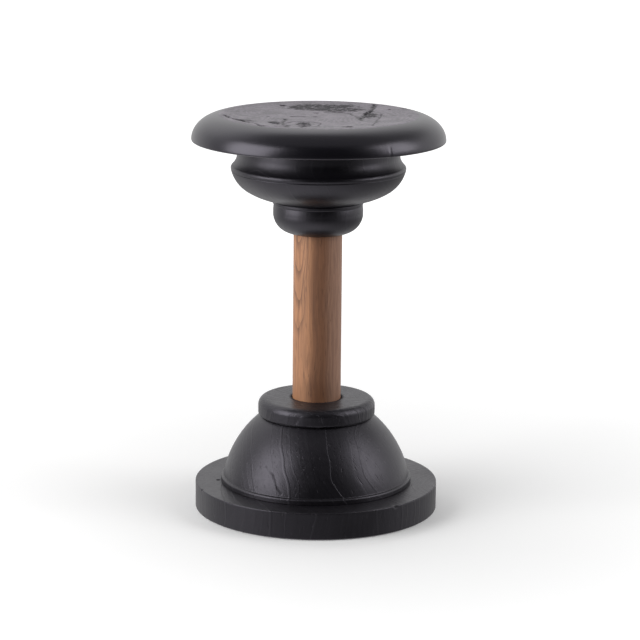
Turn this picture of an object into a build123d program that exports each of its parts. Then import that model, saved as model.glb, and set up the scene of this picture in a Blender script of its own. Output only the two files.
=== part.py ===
"""Turned wooden candlestick for one wide candle.

Seven black-stained blocks and one plain brown stem are turned on a lathe and stacked on one
axis. A threaded rod clamps the stack from the foot to the bowl, dowels stop the blocks
turning, and the candle plate is glued on last over the rod's upper nut. Sizes are in
millimetres, +Z is up, and the origin is the centre of the face that rests on the table.
"""

import os

from build123d import *

os.makedirs("parts", exist_ok=True)

# Heights of the joints between the stacked blocks
overall_height = 285.0
felt_stand_off = 0.5
disc_top = 19.5
dome_top = 67.8
collar_top = 80.7
stem_top = 201.0
bulb_top = 224.4
bowl_top = 245.6
neck_top = 266.8

# Outside radii of the blocks
disc_radius = 87.0
plinth_radius = 68.5
dome_foot_radius = 66.9
dome_top_radius = 39.9
collar_radius = 41.9
stem_radius = 17.3
neck_radius = 57.3
plate_radius = 89.6
plate_crest_radius = 67.0

# Joinery shared by several blocks
glide = 0.06
seat_gap = 0.2
glue_gap = 0.5
rod_radius = 4.0
rod_bore_radius = 4.5
tenon_radius = 11.0
tenon_chamfer = 1.0
arris = 0.6
small_arris = 0.4
spigot_chamfer = 0.5

# Rod ends, washers and nuts (M8)
washer_radius = 12.0
washer_thickness = 1.6
lock_washer_radius = 7.4
lock_washer_thickness = 2.0
lock_washer_bore_radius = 4.2
lock_washer_slit = 0.8
nut_across_flats = 13.0
nut_height = 6.5
nut_face_rise = 0.75
nut_face_reach = 0.05
nut_corner_reach = 1.3
thread_glide = 0.05
rod_chamfer = 0.9
counterbore_radius = 13.5
foot_seat = 13.0
head_seat = 236.0
rod_bottom = 2.5
rod_top = 248.6

# Felt disc under the foot
felt_radius = 74.5
felt_thickness = 2.0
felt_chamfer = 0.3
felt_recess_radius = 75.0

# Wood screws from the foot disc into the dome
screw_count = 4
screw_ring_radius = 54.0
screw_first_angle = 45
screw_radius = 2.0
screw_head_radius = 4.0
screw_head_height = 2.2
screw_bottom = 2.3
screw_length = 32.0
screw_tip_height = 5.0
screw_tip_radius = 0.3
countersink_gap = 0.33
cross_length = 4.2
cross_width = 0.9
cross_depth = 1.3

# Dowels: three of each, fluted, with chamfered ends
dowel_count = 3
dowel_chamfer = 0.8
flute_count = 8
flute_radius = 0.45
flute_offset = 0.1
small_dowel_radius = 3.0
large_dowel_radius = 4.0
collar_dowel_ring = 26.0
collar_dowel_angle = 90
collar_dowel_bottom = 58.5
collar_dowel_top = 76.5
neck_dowel_ring = 45.0
neck_dowel_angle = 30
neck_dowel_bottom = 236.5
neck_dowel_top = 252.5
plate_dowel_ring = 43.0
plate_dowel_angle = 90
plate_dowel_bottom = 254.0
plate_dowel_top = 277.0

upright = (Align.CENTER, Align.CENTER, Align.MIN)


def ring_of_holes(ring_radius, count, first_angle, radius, bottom, top):
    """Drill-shaped solids on one ring, to be taken away from a block."""
    with BuildPart() as drills:
        with PolarLocations(ring_radius, count, start_angle=first_angle):
            with Locations((0, 0, bottom)):
                Cylinder(radius, top - bottom, align=upright)
    return drills.part


def flat_washer(bottom):
    """A plain washer that lies with its lower face at the given height."""
    with BuildPart() as washer:
        with BuildSketch(Plane.XY.offset(bottom)):
            Circle(washer_radius)
            Circle(rod_bore_radius, mode=Mode.SUBTRACT)
        extrude(amount=washer_thickness)
    return washer.part


def lock_washer(bottom):
    """A split spring washer, pressed flat, with its slit along +X."""
    with BuildPart() as washer:
        with BuildSketch(Plane.XY.offset(bottom)):
            Circle(lock_washer_radius)
            Circle(lock_washer_bore_radius, mode=Mode.SUBTRACT)
            with Locations((lock_washer_radius, 0)):
                Rectangle(2 * lock_washer_radius, lock_washer_slit, mode=Mode.SUBTRACT)
        extrude(amount=lock_washer_thickness)
    return washer.part


def hexagon_nut(bottom):
    """A hexagon nut whose corners are turned off towards both faces."""
    top = bottom + nut_height
    face_radius = nut_across_flats / 2 + nut_face_reach
    corner_radius = nut_across_flats / 2 + nut_corner_reach
    with BuildPart() as nut:
        with BuildSketch(Plane.XY.offset(bottom)):
            RegularPolygon(nut_across_flats / 2, 6, major_radius=False)
            Circle(rod_radius + thread_glide, mode=Mode.SUBTRACT)
        extrude(amount=nut_height)
        with BuildSketch(Plane.XZ):
            with BuildLine():
                Polyline(
                    (0, bottom),
                    (face_radius, bottom),
                    (corner_radius, bottom + nut_face_rise),
                    (corner_radius, top - nut_face_rise),
                    (face_radius, top),
                    (0, top),
                    close=True,
                )
            make_face()
        revolve(axis=Axis.Z, mode=Mode.INTERSECT)
    return nut.part


def ring_of_dowels(ring_radius, first_angle, radius, bottom, top):
    """Fluted dowels with chamfered ends, standing on one ring, as separate solids."""
    with BuildPart() as dowels:
        with PolarLocations(ring_radius, dowel_count, start_angle=first_angle):
            with Locations((0, 0, bottom)):
                Cylinder(radius, top - bottom, align=upright)
        chamfer(dowels.edges().filter_by(GeomType.CIRCLE), dowel_chamfer)
        with PolarLocations(ring_radius, dowel_count, start_angle=first_angle):
            with PolarLocations(radius + flute_offset, flute_count):
                with Locations((0, 0, bottom)):
                    Cylinder(flute_radius, top - bottom, align=upright, mode=Mode.SUBTRACT)
    return dowels.part


# ---------------------------------------------------------------- felt pad
with BuildPart() as felt_pad:
    with BuildSketch(Plane.XY):
        Circle(felt_radius)
    extrude(amount=felt_thickness)
    chamfer(felt_pad.edges().group_by(Axis.Z)[0], felt_chamfer)

# ---------------------------------------------------------------- foot disc
spigot_radius = 30.0
spigot_depth = 3.0
with BuildPart() as base_disc:
    with BuildSketch(Plane.XY.offset(felt_stand_off)):
        Circle(disc_radius)
    extrude(amount=disc_top - felt_stand_off)
    fillet(base_disc.edges(), arris)
    # Recess for the felt
    with BuildSketch(Plane.XY.offset(felt_stand_off)):
        Circle(felt_recess_radius)
    extrude(amount=felt_thickness - felt_stand_off, mode=Mode.SUBTRACT)
    # Counterbore for the nut and washers, and the hole for the rod
    with BuildSketch(Plane.XY.offset(felt_thickness)):
        Circle(counterbore_radius)
    extrude(amount=foot_seat - felt_thickness, mode=Mode.SUBTRACT)
    with BuildSketch(Plane.XY.offset(felt_thickness)):
        Circle(rod_bore_radius)
    extrude(amount=disc_top - felt_thickness, mode=Mode.SUBTRACT)
    # Shallow socket that centres the dome
    with BuildSketch(Plane.XY.offset(disc_top - spigot_depth)):
        Circle(spigot_radius + glide)
    extrude(amount=spigot_depth, mode=Mode.SUBTRACT)
    # Countersunk clearance holes for the wood screws
    with PolarLocations(screw_ring_radius, screw_count, start_angle=screw_first_angle):
        with Locations((0, 0, felt_thickness)):
            Cone(
                bottom_radius=screw_head_radius + countersink_gap,
                top_radius=screw_radius + glide,
                height=screw_head_height + screw_bottom - felt_thickness,
                align=upright,
                mode=Mode.SUBTRACT,
            )
            Cylinder(screw_radius + glide, disc_top, align=upright, mode=Mode.SUBTRACT)

# ---------------------------------------------------------------- dome
plinth_top = disc_top + 4.2
plinth_round = 1.5
dome_bulge = 4.6
tenon_bottom = 51.0
dome_bottom = disc_top - spigot_depth + seat_gap
pilot_gap = 0.4
with BuildPart() as dome:
    with BuildSketch(Plane.XZ):
        with BuildLine():
            Polyline(
                (rod_bore_radius, dome_bottom),
                (spigot_radius - small_arris, dome_bottom),
                (spigot_radius, dome_bottom + small_arris),
                (spigot_radius, disc_top),
                (plinth_radius, disc_top),
                (plinth_radius, plinth_top - plinth_round),
            )
            RadiusArc(
                (plinth_radius, plinth_top - plinth_round),
                (plinth_radius - plinth_round, plinth_top),
                -plinth_round,
            )
            Line((plinth_radius - plinth_round, plinth_top), (dome_foot_radius, plinth_top))
            SagittaArc((dome_foot_radius, plinth_top), (dome_top_radius, dome_top), -dome_bulge)
            Polyline(
                (dome_top_radius, dome_top),
                (tenon_radius + glide, dome_top),
                (tenon_radius + glide, tenon_bottom - glue_gap),
                (rod_bore_radius, tenon_bottom - glue_gap),
                (rod_bore_radius, dome_bottom),
            )
        make_face()
    revolve(axis=Axis.Z)
    # Pilot holes for the wood screws, and blind holes for the collar dowels
    add(
        ring_of_holes(screw_ring_radius, screw_count, screw_first_angle, screw_radius + glide,
                      disc_top, screw_bottom + screw_length + pilot_gap),
        mode=Mode.SUBTRACT,
    )
    add(
        ring_of_holes(collar_dowel_ring, dowel_count, collar_dowel_angle, small_dowel_radius + glide,
                      collar_dowel_bottom - glue_gap, dome_top),
        mode=Mode.SUBTRACT,
    )

# ---------------------------------------------------------------- collar
collar_round = 5.4
collar_foot_round = 2.2
stem_socket_radius = stem_radius + 0.5
stem_socket_depth = 1.6
with BuildPart() as collar:
    with BuildSketch(Plane.XY.offset(dome_top)):
        Circle(collar_radius)
    extrude(amount=collar_top - dome_top)
    fillet(collar.edges().group_by(Axis.Z)[-1], collar_round)
    fillet(collar.edges().group_by(Axis.Z)[0], collar_foot_round)
    # Hole for the tenon and the shallow seat that the stem stands in
    with BuildSketch(Plane.XY.offset(dome_top)):
        Circle(tenon_radius + glide)
    extrude(amount=collar_top - dome_top, mode=Mode.SUBTRACT)
    with BuildSketch(Plane.XY.offset(collar_top - stem_socket_depth)):
        Circle(stem_socket_radius)
    extrude(amount=stem_socket_depth, mode=Mode.SUBTRACT)
    # Blind holes for the collar dowels
    add(
        ring_of_holes(collar_dowel_ring, dowel_count, collar_dowel_angle, small_dowel_radius + glide,
                      dome_top, collar_dowel_top + glue_gap),
        mode=Mode.SUBTRACT,
    )

# ---------------------------------------------------------------- stem
upper_tenon_length = 15.0
stem_bottom = collar_top - stem_socket_depth
tenon_end_radius = tenon_radius - tenon_chamfer
tenon_top = stem_top + upper_tenon_length
with BuildPart() as stem:
    with BuildSketch(Plane.XZ):
        with BuildLine():
            Polyline(
                (rod_bore_radius, tenon_bottom),
                (tenon_end_radius, tenon_bottom),
                (tenon_radius, tenon_bottom + tenon_chamfer),
                (tenon_radius, stem_bottom),
                (stem_radius - small_arris, stem_bottom),
                (stem_radius, stem_bottom + small_arris),
                (stem_radius, stem_top - small_arris),
                (stem_radius - small_arris, stem_top),
                (tenon_radius, stem_top),
                (tenon_radius, tenon_top - tenon_chamfer),
                (tenon_end_radius, tenon_top),
                (rod_bore_radius, tenon_top),
                close=True,
            )
        make_face()
    revolve(axis=Axis.Z)

# ---------------------------------------------------------------- bulb
bulb_foot_radius = 19.6
bulb_side = (31.9, 216.0)
bulb_side_bulge = 3.8
bulb_waist = (31.45, 221.4)
bulb_waist_bulge = 0.15
bulb_lip_radius = 31.95
bulb_lip_bottom = 221.8
bulb_lip_top = 223.4
bulb_top_radius = 31.2
bulb_spigot_radius = 18.0
bulb_spigot_top = bulb_top + 5.0
with BuildPart() as bulb:
    with BuildSketch(Plane.XZ):
        with BuildLine():
            Line((tenon_radius + glide, stem_top), (bulb_foot_radius, stem_top))
            SagittaArc((bulb_foot_radius, stem_top), bulb_side, -bulb_side_bulge)
            SagittaArc(bulb_side, bulb_waist, -bulb_waist_bulge)
            Polyline(
                bulb_waist,
                (bulb_lip_radius, bulb_lip_bottom),
                (bulb_lip_radius, bulb_lip_top),
                (bulb_top_radius, bulb_top),
                (bulb_spigot_radius, bulb_top),
                (bulb_spigot_radius, bulb_spigot_top - spigot_chamfer),
                (bulb_spigot_radius - spigot_chamfer, bulb_spigot_top),
                (rod_bore_radius, bulb_spigot_top),
                (rod_bore_radius, tenon_top + glue_gap),
                (tenon_radius + glide, tenon_top + glue_gap),
                (tenon_radius + glide, stem_top),
            )
        make_face()
    revolve(axis=Axis.Z)

# ---------------------------------------------------------------- bowl
bowl_foot_radius = 31.6
bowl_foot_bulge = 1.1
bowl_knuckle = (51.4, 231.5)
bowl_side_bulge = 1.6
bowl_edge = (61.55, 245.3)
bowl_lip_radius = 61.35
neck_spigot_radius = 34.0
neck_spigot_bottom = bowl_top - 4.0
bowl_recess_floor = neck_spigot_bottom - seat_gap
with BuildPart() as bowl:
    with BuildSketch(Plane.XZ):
        with BuildLine():
            Line((bulb_spigot_radius + glide, bulb_top), (bowl_foot_radius, bulb_top))
            SagittaArc((bowl_foot_radius, bulb_top), bowl_knuckle, -bowl_foot_bulge)
            SagittaArc(bowl_knuckle, bowl_edge, -bowl_side_bulge)
            Polyline(
                bowl_edge,
                (bowl_lip_radius, bowl_top),
                (neck_spigot_radius + glide, bowl_top),
                (neck_spigot_radius + glide, bowl_recess_floor),
                (counterbore_radius, bowl_recess_floor),
                (counterbore_radius, head_seat),
                (rod_bore_radius, head_seat),
                (rod_bore_radius, bulb_spigot_top + glue_gap),
                (bulb_spigot_radius + glide, bulb_spigot_top + glue_gap),
                (bulb_spigot_radius + glide, bulb_top),
            )
        make_face()
    revolve(axis=Axis.Z)
    # Blind holes for the neck dowels
    add(
        ring_of_holes(neck_dowel_ring, dowel_count, neck_dowel_angle, small_dowel_radius + glide,
                      neck_dowel_bottom - glue_gap, bowl_top),
        mode=Mode.SUBTRACT,
    )

# ---------------------------------------------------------------- neck ring
neck_opening_radius = 14.0
shoulder_start = (61.65, 245.9)
shoulder_widest = (61.9, 247.1)
shoulder_end = (60.7, 249.4)
shoulder_bulge = 0.3
cove_top = 257.8
cove_sink = 0.88
with BuildPart() as neck_ring:
    with BuildSketch(Plane.XZ):
        with BuildLine():
            Polyline(
                (neck_opening_radius, neck_spigot_bottom),
                (neck_spigot_radius, neck_spigot_bottom),
                (neck_spigot_radius, bowl_top),
                (bowl_lip_radius, bowl_top),
                shoulder_start,
                shoulder_widest,
            )
            SagittaArc(shoulder_widest, shoulder_end, -shoulder_bulge)
            SagittaArc(shoulder_end, (neck_radius, cove_top), cove_sink)
            Polyline(
                (neck_radius, cove_top),
                (neck_radius, neck_top),
                (neck_opening_radius, neck_top),
                (neck_opening_radius, neck_spigot_bottom),
            )
        make_face()
    revolve(axis=Axis.Z)
    # Blind holes for the dowels below and above
    add(
        ring_of_holes(neck_dowel_ring, dowel_count, neck_dowel_angle, small_dowel_radius + glide,
                      bowl_top, neck_dowel_top + glue_gap),
        mode=Mode.SUBTRACT,
    )
    add(
        ring_of_holes(plate_dowel_ring, dowel_count, plate_dowel_angle, large_dowel_radius + glide,
                      plate_dowel_bottom - glue_gap, neck_top),
        mode=Mode.SUBTRACT,
    )

# ---------------------------------------------------------------- candle plate
plate_edge = 0.9
plate_spigot_bottom = neck_top - 4.0
plate_spigot_radius = neck_opening_radius - glide
dish_floor = overall_height - 2.4
seat_radius = 30.0
with BuildPart() as candle_plate:
    with BuildSketch(Plane.XZ):
        with BuildLine():
            Polyline(
                (0, plate_spigot_bottom),
                (plate_spigot_radius, plate_spigot_bottom),
                (plate_spigot_radius, neck_top),
                (plate_radius - plate_edge, neck_top),
            )
            RadiusArc(
                (plate_radius - plate_edge, neck_top),
                (plate_radius, neck_top + plate_edge),
                -plate_edge,
            )
            EllipticalCenterArc(
                (plate_crest_radius, neck_top + plate_edge),
                plate_radius - plate_crest_radius,
                overall_height - neck_top - plate_edge,
                start_angle=0,
                arc_size=90,
            )
            TangentArc((seat_radius, dish_floor), (plate_crest_radius, overall_height), tangent=(1, 0))
            Polyline((seat_radius, dish_floor), (0, dish_floor), (0, plate_spigot_bottom))
        make_face()
    revolve(axis=Axis.Z)
    # Blind holes for the plate dowels
    add(
        ring_of_holes(plate_dowel_ring, dowel_count, plate_dowel_angle, large_dowel_radius + glide,
                      neck_top, plate_dowel_top + glue_gap),
        mode=Mode.SUBTRACT,
    )

# ---------------------------------------------------------------- tie rod
with BuildPart() as tie_rod:
    with BuildSketch(Plane.XY.offset(rod_bottom)):
        Circle(rod_radius)
    extrude(amount=rod_top - rod_bottom)
    chamfer(tie_rod.edges(), rod_chamfer)

# ---------------------------------------------------------------- nuts and washers at the foot
foot_washer_bottom = foot_seat - washer_thickness
foot_lock_bottom = foot_washer_bottom - lock_washer_thickness
with BuildPart() as foot_washer:
    add(flat_washer(foot_washer_bottom))
with BuildPart() as foot_lock_washer:
    add(lock_washer(foot_lock_bottom))
with BuildPart() as foot_nut:
    add(hexagon_nut(foot_lock_bottom - nut_height))

# ---------------------------------------------------------------- nuts and washers at the head
head_lock_bottom = head_seat + washer_thickness
with BuildPart() as head_washer:
    add(flat_washer(head_seat))
with BuildPart() as head_lock_washer:
    add(lock_washer(head_lock_bottom))
with BuildPart() as head_nut:
    add(hexagon_nut(head_lock_bottom + lock_washer_thickness))

# ---------------------------------------------------------------- wood screws
screw_tip_bottom = screw_bottom + screw_length - screw_tip_height
with BuildPart() as base_screws:
    with PolarLocations(screw_ring_radius, screw_count, start_angle=screw_first_angle):
        with Locations((0, 0, screw_bottom)):
            Cone(screw_head_radius, screw_radius, screw_head_height, align=upright)
            Cylinder(screw_radius, screw_length - screw_tip_height, align=upright)
        with Locations((0, 0, screw_tip_bottom)):
            Cone(screw_radius, screw_tip_radius, screw_tip_height, align=upright)
        # Cross recess in each head
        with Locations((0, 0, screw_bottom)):
            Box(cross_length, cross_width, cross_depth, align=upright, mode=Mode.SUBTRACT)
            Box(cross_width, cross_length, cross_depth, align=upright, mode=Mode.SUBTRACT)

# ---------------------------------------------------------------- dowels
with BuildPart() as collar_dowels:
    add(ring_of_dowels(collar_dowel_ring, collar_dowel_angle, small_dowel_radius,
                       collar_dowel_bottom, collar_dowel_top))
with BuildPart() as neck_dowels:
    add(ring_of_dowels(neck_dowel_ring, neck_dowel_angle, small_dowel_radius,
                       neck_dowel_bottom, neck_dowel_top))
with BuildPart() as plate_dowels:
    add(ring_of_dowels(plate_dowel_ring, plate_dowel_angle, large_dowel_radius,
                       plate_dowel_bottom, plate_dowel_top))

# ---------------------------------------------------------------- names and files
felt_pad.part.label = "felt_pad"
base_disc.part.label = "base_disc"
dome.part.label = "dome"
collar.part.label = "collar"
stem.part.label = "stem"
bulb.part.label = "bulb"
bowl.part.label = "bowl"
neck_ring.part.label = "neck_ring"
candle_plate.part.label = "candle_plate"
tie_rod.part.label = "tie_rod"
foot_washer.part.label = "foot_washer"
foot_lock_washer.part.label = "foot_lock_washer"
foot_nut.part.label = "foot_nut"
head_washer.part.label = "head_washer"
head_lock_washer.part.label = "head_lock_washer"
head_nut.part.label = "head_nut"
base_screws.part.label = "base_screws"
collar_dowels.part.label = "collar_dowels"
neck_dowels.part.label = "neck_dowels"
plate_dowels.part.label = "plate_dowels"

export_step(felt_pad.part, "parts/felt_pad.step")
export_step(base_disc.part, "parts/base_disc.step")
export_step(dome.part, "parts/dome.step")
export_step(collar.part, "parts/collar.step")
export_step(stem.part, "parts/stem.step")
export_step(bulb.part, "parts/bulb.step")
export_step(bowl.part, "parts/bowl.step")
export_step(neck_ring.part, "parts/neck_ring.step")
export_step(candle_plate.part, "parts/candle_plate.step")
export_step(tie_rod.part, "parts/tie_rod.step")
export_step(foot_washer.part, "parts/foot_washer.step")
export_step(foot_lock_washer.part, "parts/foot_lock_washer.step")
export_step(foot_nut.part, "parts/foot_nut.step")
export_step(head_washer.part, "parts/head_washer.step")
export_step(head_lock_washer.part, "parts/head_lock_washer.step")
export_step(head_nut.part, "parts/head_nut.step")
export_step(base_screws.part, "parts/base_screws.step")
export_step(collar_dowels.part, "parts/collar_dowels.step")
export_step(neck_dowels.part, "parts/neck_dowels.step")
export_step(plate_dowels.part, "parts/plate_dowels.step")
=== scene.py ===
"""Looks of a turned wooden candlestick: black dyed blocks on one axis round a plain brown stem.

The sections go up the candlestick: the foot disc and its felt, the dome and collar, the stem,
the bulb, bowl and neck ring, and the candle plate that covers the upper nut. Then come the steel
parts (the rod that clamps the blocks, its nuts and washers, and the screws) and the dowels, and
last the floor, the studio lamps and the camera. Lengths are in metres, and a value in
millimetres is written n * MM.
"""
import math

import bpy
import numpy as np
from mathutils import Matrix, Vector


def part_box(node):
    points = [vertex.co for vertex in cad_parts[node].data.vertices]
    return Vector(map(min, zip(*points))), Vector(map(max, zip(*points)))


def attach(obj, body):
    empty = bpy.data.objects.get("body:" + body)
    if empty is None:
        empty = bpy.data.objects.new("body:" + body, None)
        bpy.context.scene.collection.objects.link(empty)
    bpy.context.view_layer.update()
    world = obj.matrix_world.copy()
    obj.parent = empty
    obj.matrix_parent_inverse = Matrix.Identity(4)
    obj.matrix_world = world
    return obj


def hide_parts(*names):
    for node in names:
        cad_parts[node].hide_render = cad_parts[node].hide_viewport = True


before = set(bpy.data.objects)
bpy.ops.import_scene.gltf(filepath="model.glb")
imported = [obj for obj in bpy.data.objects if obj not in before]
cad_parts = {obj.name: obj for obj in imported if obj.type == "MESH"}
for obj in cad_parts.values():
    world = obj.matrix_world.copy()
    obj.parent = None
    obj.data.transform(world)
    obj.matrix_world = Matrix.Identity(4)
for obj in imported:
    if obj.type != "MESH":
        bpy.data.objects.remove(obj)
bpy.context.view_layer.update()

# ---------------------------------------------------------------- foot disc
# The foot is a flat disc of hardwood cut across the log, so its faces show end grain. It is
# faced and edged on the lathe, dyed black, and rubbed with a thin satin wax. Its arrises are
# crisp and have lost a few small chips.
MM = 0.001


def run(corners, step):
    """Points at even steps, no longer than step, on the straight runs from corner to corner."""
    corners = np.asarray(corners, float)
    pieces = []
    for start, end in zip(corners[:-1], corners[1:]):
        count = max(1, math.ceil(np.linalg.norm(end - start) / step))
        share = np.arange(count)[:, None] / count
        pieces.append(start + (end - start) * share)
    return np.vstack(pieces + [corners[-1:]])


def bend(start, end, bulge, step):
    """Points on the circular arc from start to end.

    The arc's middle stands off the chord by bulge, to the right of the way it runs. Half the
    chord and the bulge give the sweep, four times the arc tangent of their ratio, and the radius.
    """
    start, end = np.asarray(start, float), np.asarray(end, float)
    half = np.linalg.norm(end - start) / 2
    along = (end - start) / (2 * half)
    across = np.array([along[1], -along[0]]) * math.copysign(1, bulge)
    sweep = 4 * math.atan(abs(bulge) / half)
    radius = half / math.sin(sweep / 2)
    centre = (start + end) / 2 + across * (abs(bulge) - radius)
    count = max(3, math.ceil(radius * sweep / step))
    angle = np.linspace(-sweep / 2, sweep / 2, count + 1)[:, None]
    return centre + radius * (across * np.cos(angle) + along * np.sin(angle))


def outline(*stretches):
    """Joins stretches of (radius, height) points and drops the points that meet."""
    points = np.vstack(stretches)
    apart = np.linalg.norm(np.diff(points, axis=0), axis=1) > 1e-6
    return points[np.concatenate([[True], apart])]


def lattice_noise(place, cell, seed):
    """Smooth noise from -1 to 1: each corner of a grid of cells has a hashed number, and a
    smoothstep in each direction blends the eight corners round a point."""
    scaled = place / cell
    low = np.floor(scaled)
    part = scaled - low
    blend = part * part * (3 - 2 * part)
    total = np.zeros(place.shape[:-1])
    for corner in np.ndindex(2, 2, 2):
        key = (low + corner) @ np.array([12.9898, 78.233, 37.719]) + 19.19 * seed
        value = np.sin(key) * 43758.5453
        weight = np.prod(np.where(corner, blend, 1 - blend), axis=-1)
        total += weight * (2 * (value - np.floor(value)) - 1)
    return total


def turned(name, points, segments, cut=None):
    """A surface of revolution: the outline of (radius, height) points carried round +Z.

    A point at angle a is (r cos a, r sin a, z). The cut takes arrays of places and returns how
    deep the material is cut there, which moves each point inwards along the surface's normal,
    and a set of named marks, which are kept as attributes. An outline that starts and ends on
    the axis is closed by two poles, and any other outline is a closed ring.
    """
    poles = points[0, 0] < 1e-9
    if poles:
        ahead = np.gradient(points, axis=0)
    else:
        ahead = np.roll(points, -1, axis=0) - np.roll(points, 1, axis=0)
    across = np.stack([ahead[:, 1], -ahead[:, 0]], axis=1)
    across /= np.linalg.norm(across, axis=1, keepdims=True)
    angle = np.linspace(0, 2 * math.pi, segments, endpoint=False)
    ring = np.stack([np.cos(angle), np.sin(angle)], axis=1)

    def carried(pairs):
        flat = pairs[:, None, :1] * ring[None]
        tall = np.broadcast_to(pairs[:, None, 1:], flat.shape[:2] + (1,))
        return np.concatenate([flat, tall], axis=2)

    if not poles:
        points, across = points[:-1], across[:-1]
    place = carried(points)
    depth, marks = cut(place) if cut is not None else (np.zeros(place.shape[:2]), {})
    place = place - depth[..., None] * carried(across)
    rows = len(points)

    def listed(values):
        """The values point by point, with each pole given once."""
        if not poles:
            return values.reshape(rows * segments, -1)
        middle = values[1:-1].reshape((rows - 2) * segments, -1)
        return np.concatenate([values[0, :1].reshape(1, -1), middle, values[-1, :1].reshape(1, -1)])

    if poles:
        inner = 1 + np.arange((rows - 2) * segments).reshape(rows - 2, segments)
    else:
        inner = np.arange(rows * segments).reshape(rows, segments)
        inner = np.vstack([inner, inner[:1]])
    beside = np.roll(inner, -1, axis=1)
    quads = np.stack([inner[:-1], beside[:-1], beside[1:], inner[1:]], axis=-1)
    faces = quads.reshape(-1, 4).tolist()
    if poles:
        last_pole = np.full(segments, inner[-1, -1] + 1)
        faces += np.stack([beside[0], inner[0], np.zeros(segments, int)], axis=1).tolist()
        faces += np.stack([inner[-1], beside[-1], last_pole], axis=1).tolist()
    mesh = bpy.data.meshes.new(name)
    mesh.from_pydata(listed(place), [], faces)
    for mark, values in marks.items():
        mesh.attributes.new(mark, "FLOAT", "POINT").data.foreach_set(
            "value", listed(values).ravel().astype(np.float32))
    mesh.polygons.foreach_set("use_smooth", np.ones(len(mesh.polygons), bool))
    piece = bpy.data.objects.new(name, mesh)
    bpy.context.collection.objects.link(piece)
    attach(piece, "root")
    return piece


def sunk(place, spots):
    """Depth of small broken spots: each is (x, y, z, radius, depth), a bowl whose depth falls
    as one less the squared distance over the radius, with a noisy edge."""
    depth = np.zeros(place.shape[:-1])
    rough = 1 + 0.45 * lattice_noise(place, 1.3 * MM, 5)
    for x, y, z, radius, deep in spots:
        away = np.linalg.norm(place - np.array([x, y, z]), axis=-1) / radius * rough
        depth = np.maximum(depth, deep * np.clip(1 - away ** 2, 0, 1))
    return depth


def linear(code):
    """Linear RGBA of an sRGB hex colour: the usual 2.4 power with its straight foot."""
    parts = np.array([int(code[i:i + 2], 16) for i in (1, 3, 5)]) / 255
    light = np.where(parts <= 0.04045, parts / 12.92, ((parts + 0.055) / 1.055) ** 2.4)
    return (*light.tolist(), 1.0)


def add_node(tree, kind, inputs=(), **settings):
    """Adds one node with its settings; an input is a value, or a socket to link from."""
    node = tree.nodes.new(kind)
    for name, value in settings.items():
        setattr(node, name, value)
    for socket, value in dict(inputs).items():
        if isinstance(value, bpy.types.NodeSocket):
            tree.links.new(value, node.inputs[socket])
        else:
            node.inputs[socket].default_value = value
    return node


def new_material(name):
    """A material with its node tree, its shader, and each point's place in the piece's frame."""
    material = bpy.data.materials.new(name)
    material.use_nodes = True
    tree = material.node_tree
    place = add_node(tree, "ShaderNodeTexCoord").outputs["Object"]
    return material, tree, tree.nodes["Principled BSDF"], place


def reckon(tree, operation, *values):
    """One step of arithmetic; MULTIPLY_ADD is the first times the second plus the third."""
    return add_node(tree, "ShaderNodeMath", dict(enumerate(values)), operation=operation).outputs[0]


def stretched(tree, place, shares):
    """Places times a share on each axis; a small share draws a pattern out along that axis."""
    return add_node(tree, "ShaderNodeVectorMath", {
        0: place, 1: shares}, operation="MULTIPLY").outputs[0]


def ranged(tree, value, low, high, bottom=0.0, top=1.0, smooth=False):
    """The value carried from the range low to high on to bottom to top, and held within it."""
    return add_node(tree, "ShaderNodeMapRange", {
        "Value": value, "From Min": low, "From Max": high, "To Min": bottom, "To Max": top},
        interpolation_type="SMOOTHSTEP" if smooth else "LINEAR").outputs[0]


def noise(tree, place, size, detail, output="Fac", **more):
    """Noise whose coarsest waves are about size across."""
    return add_node(tree, "ShaderNodeTexNoise", {
        "Vector": place, "Scale": 1 / size, "Detail": detail, **more}).outputs[output]


def mixed(tree, share, first, second):
    """The first colour where the share is 0 and the second where it is 1; hex codes will do."""
    first, second = (linear(code) if isinstance(code, str) else code for code in (first, second))
    return add_node(tree, "ShaderNodeMix", {
        0: share, 6: first, 7: second}, data_type="RGBA").outputs[2]


def raised(tree, shader, height, strength, distance):
    """Relief: height moves the surface out by up to strength times distance, as a bump only."""
    bump = add_node(tree, "ShaderNodeBump", {
        "Height": height, "Strength": strength, "Distance": distance}).outputs[0]
    tree.links.new(bump, shader.inputs["Normal"])


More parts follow.
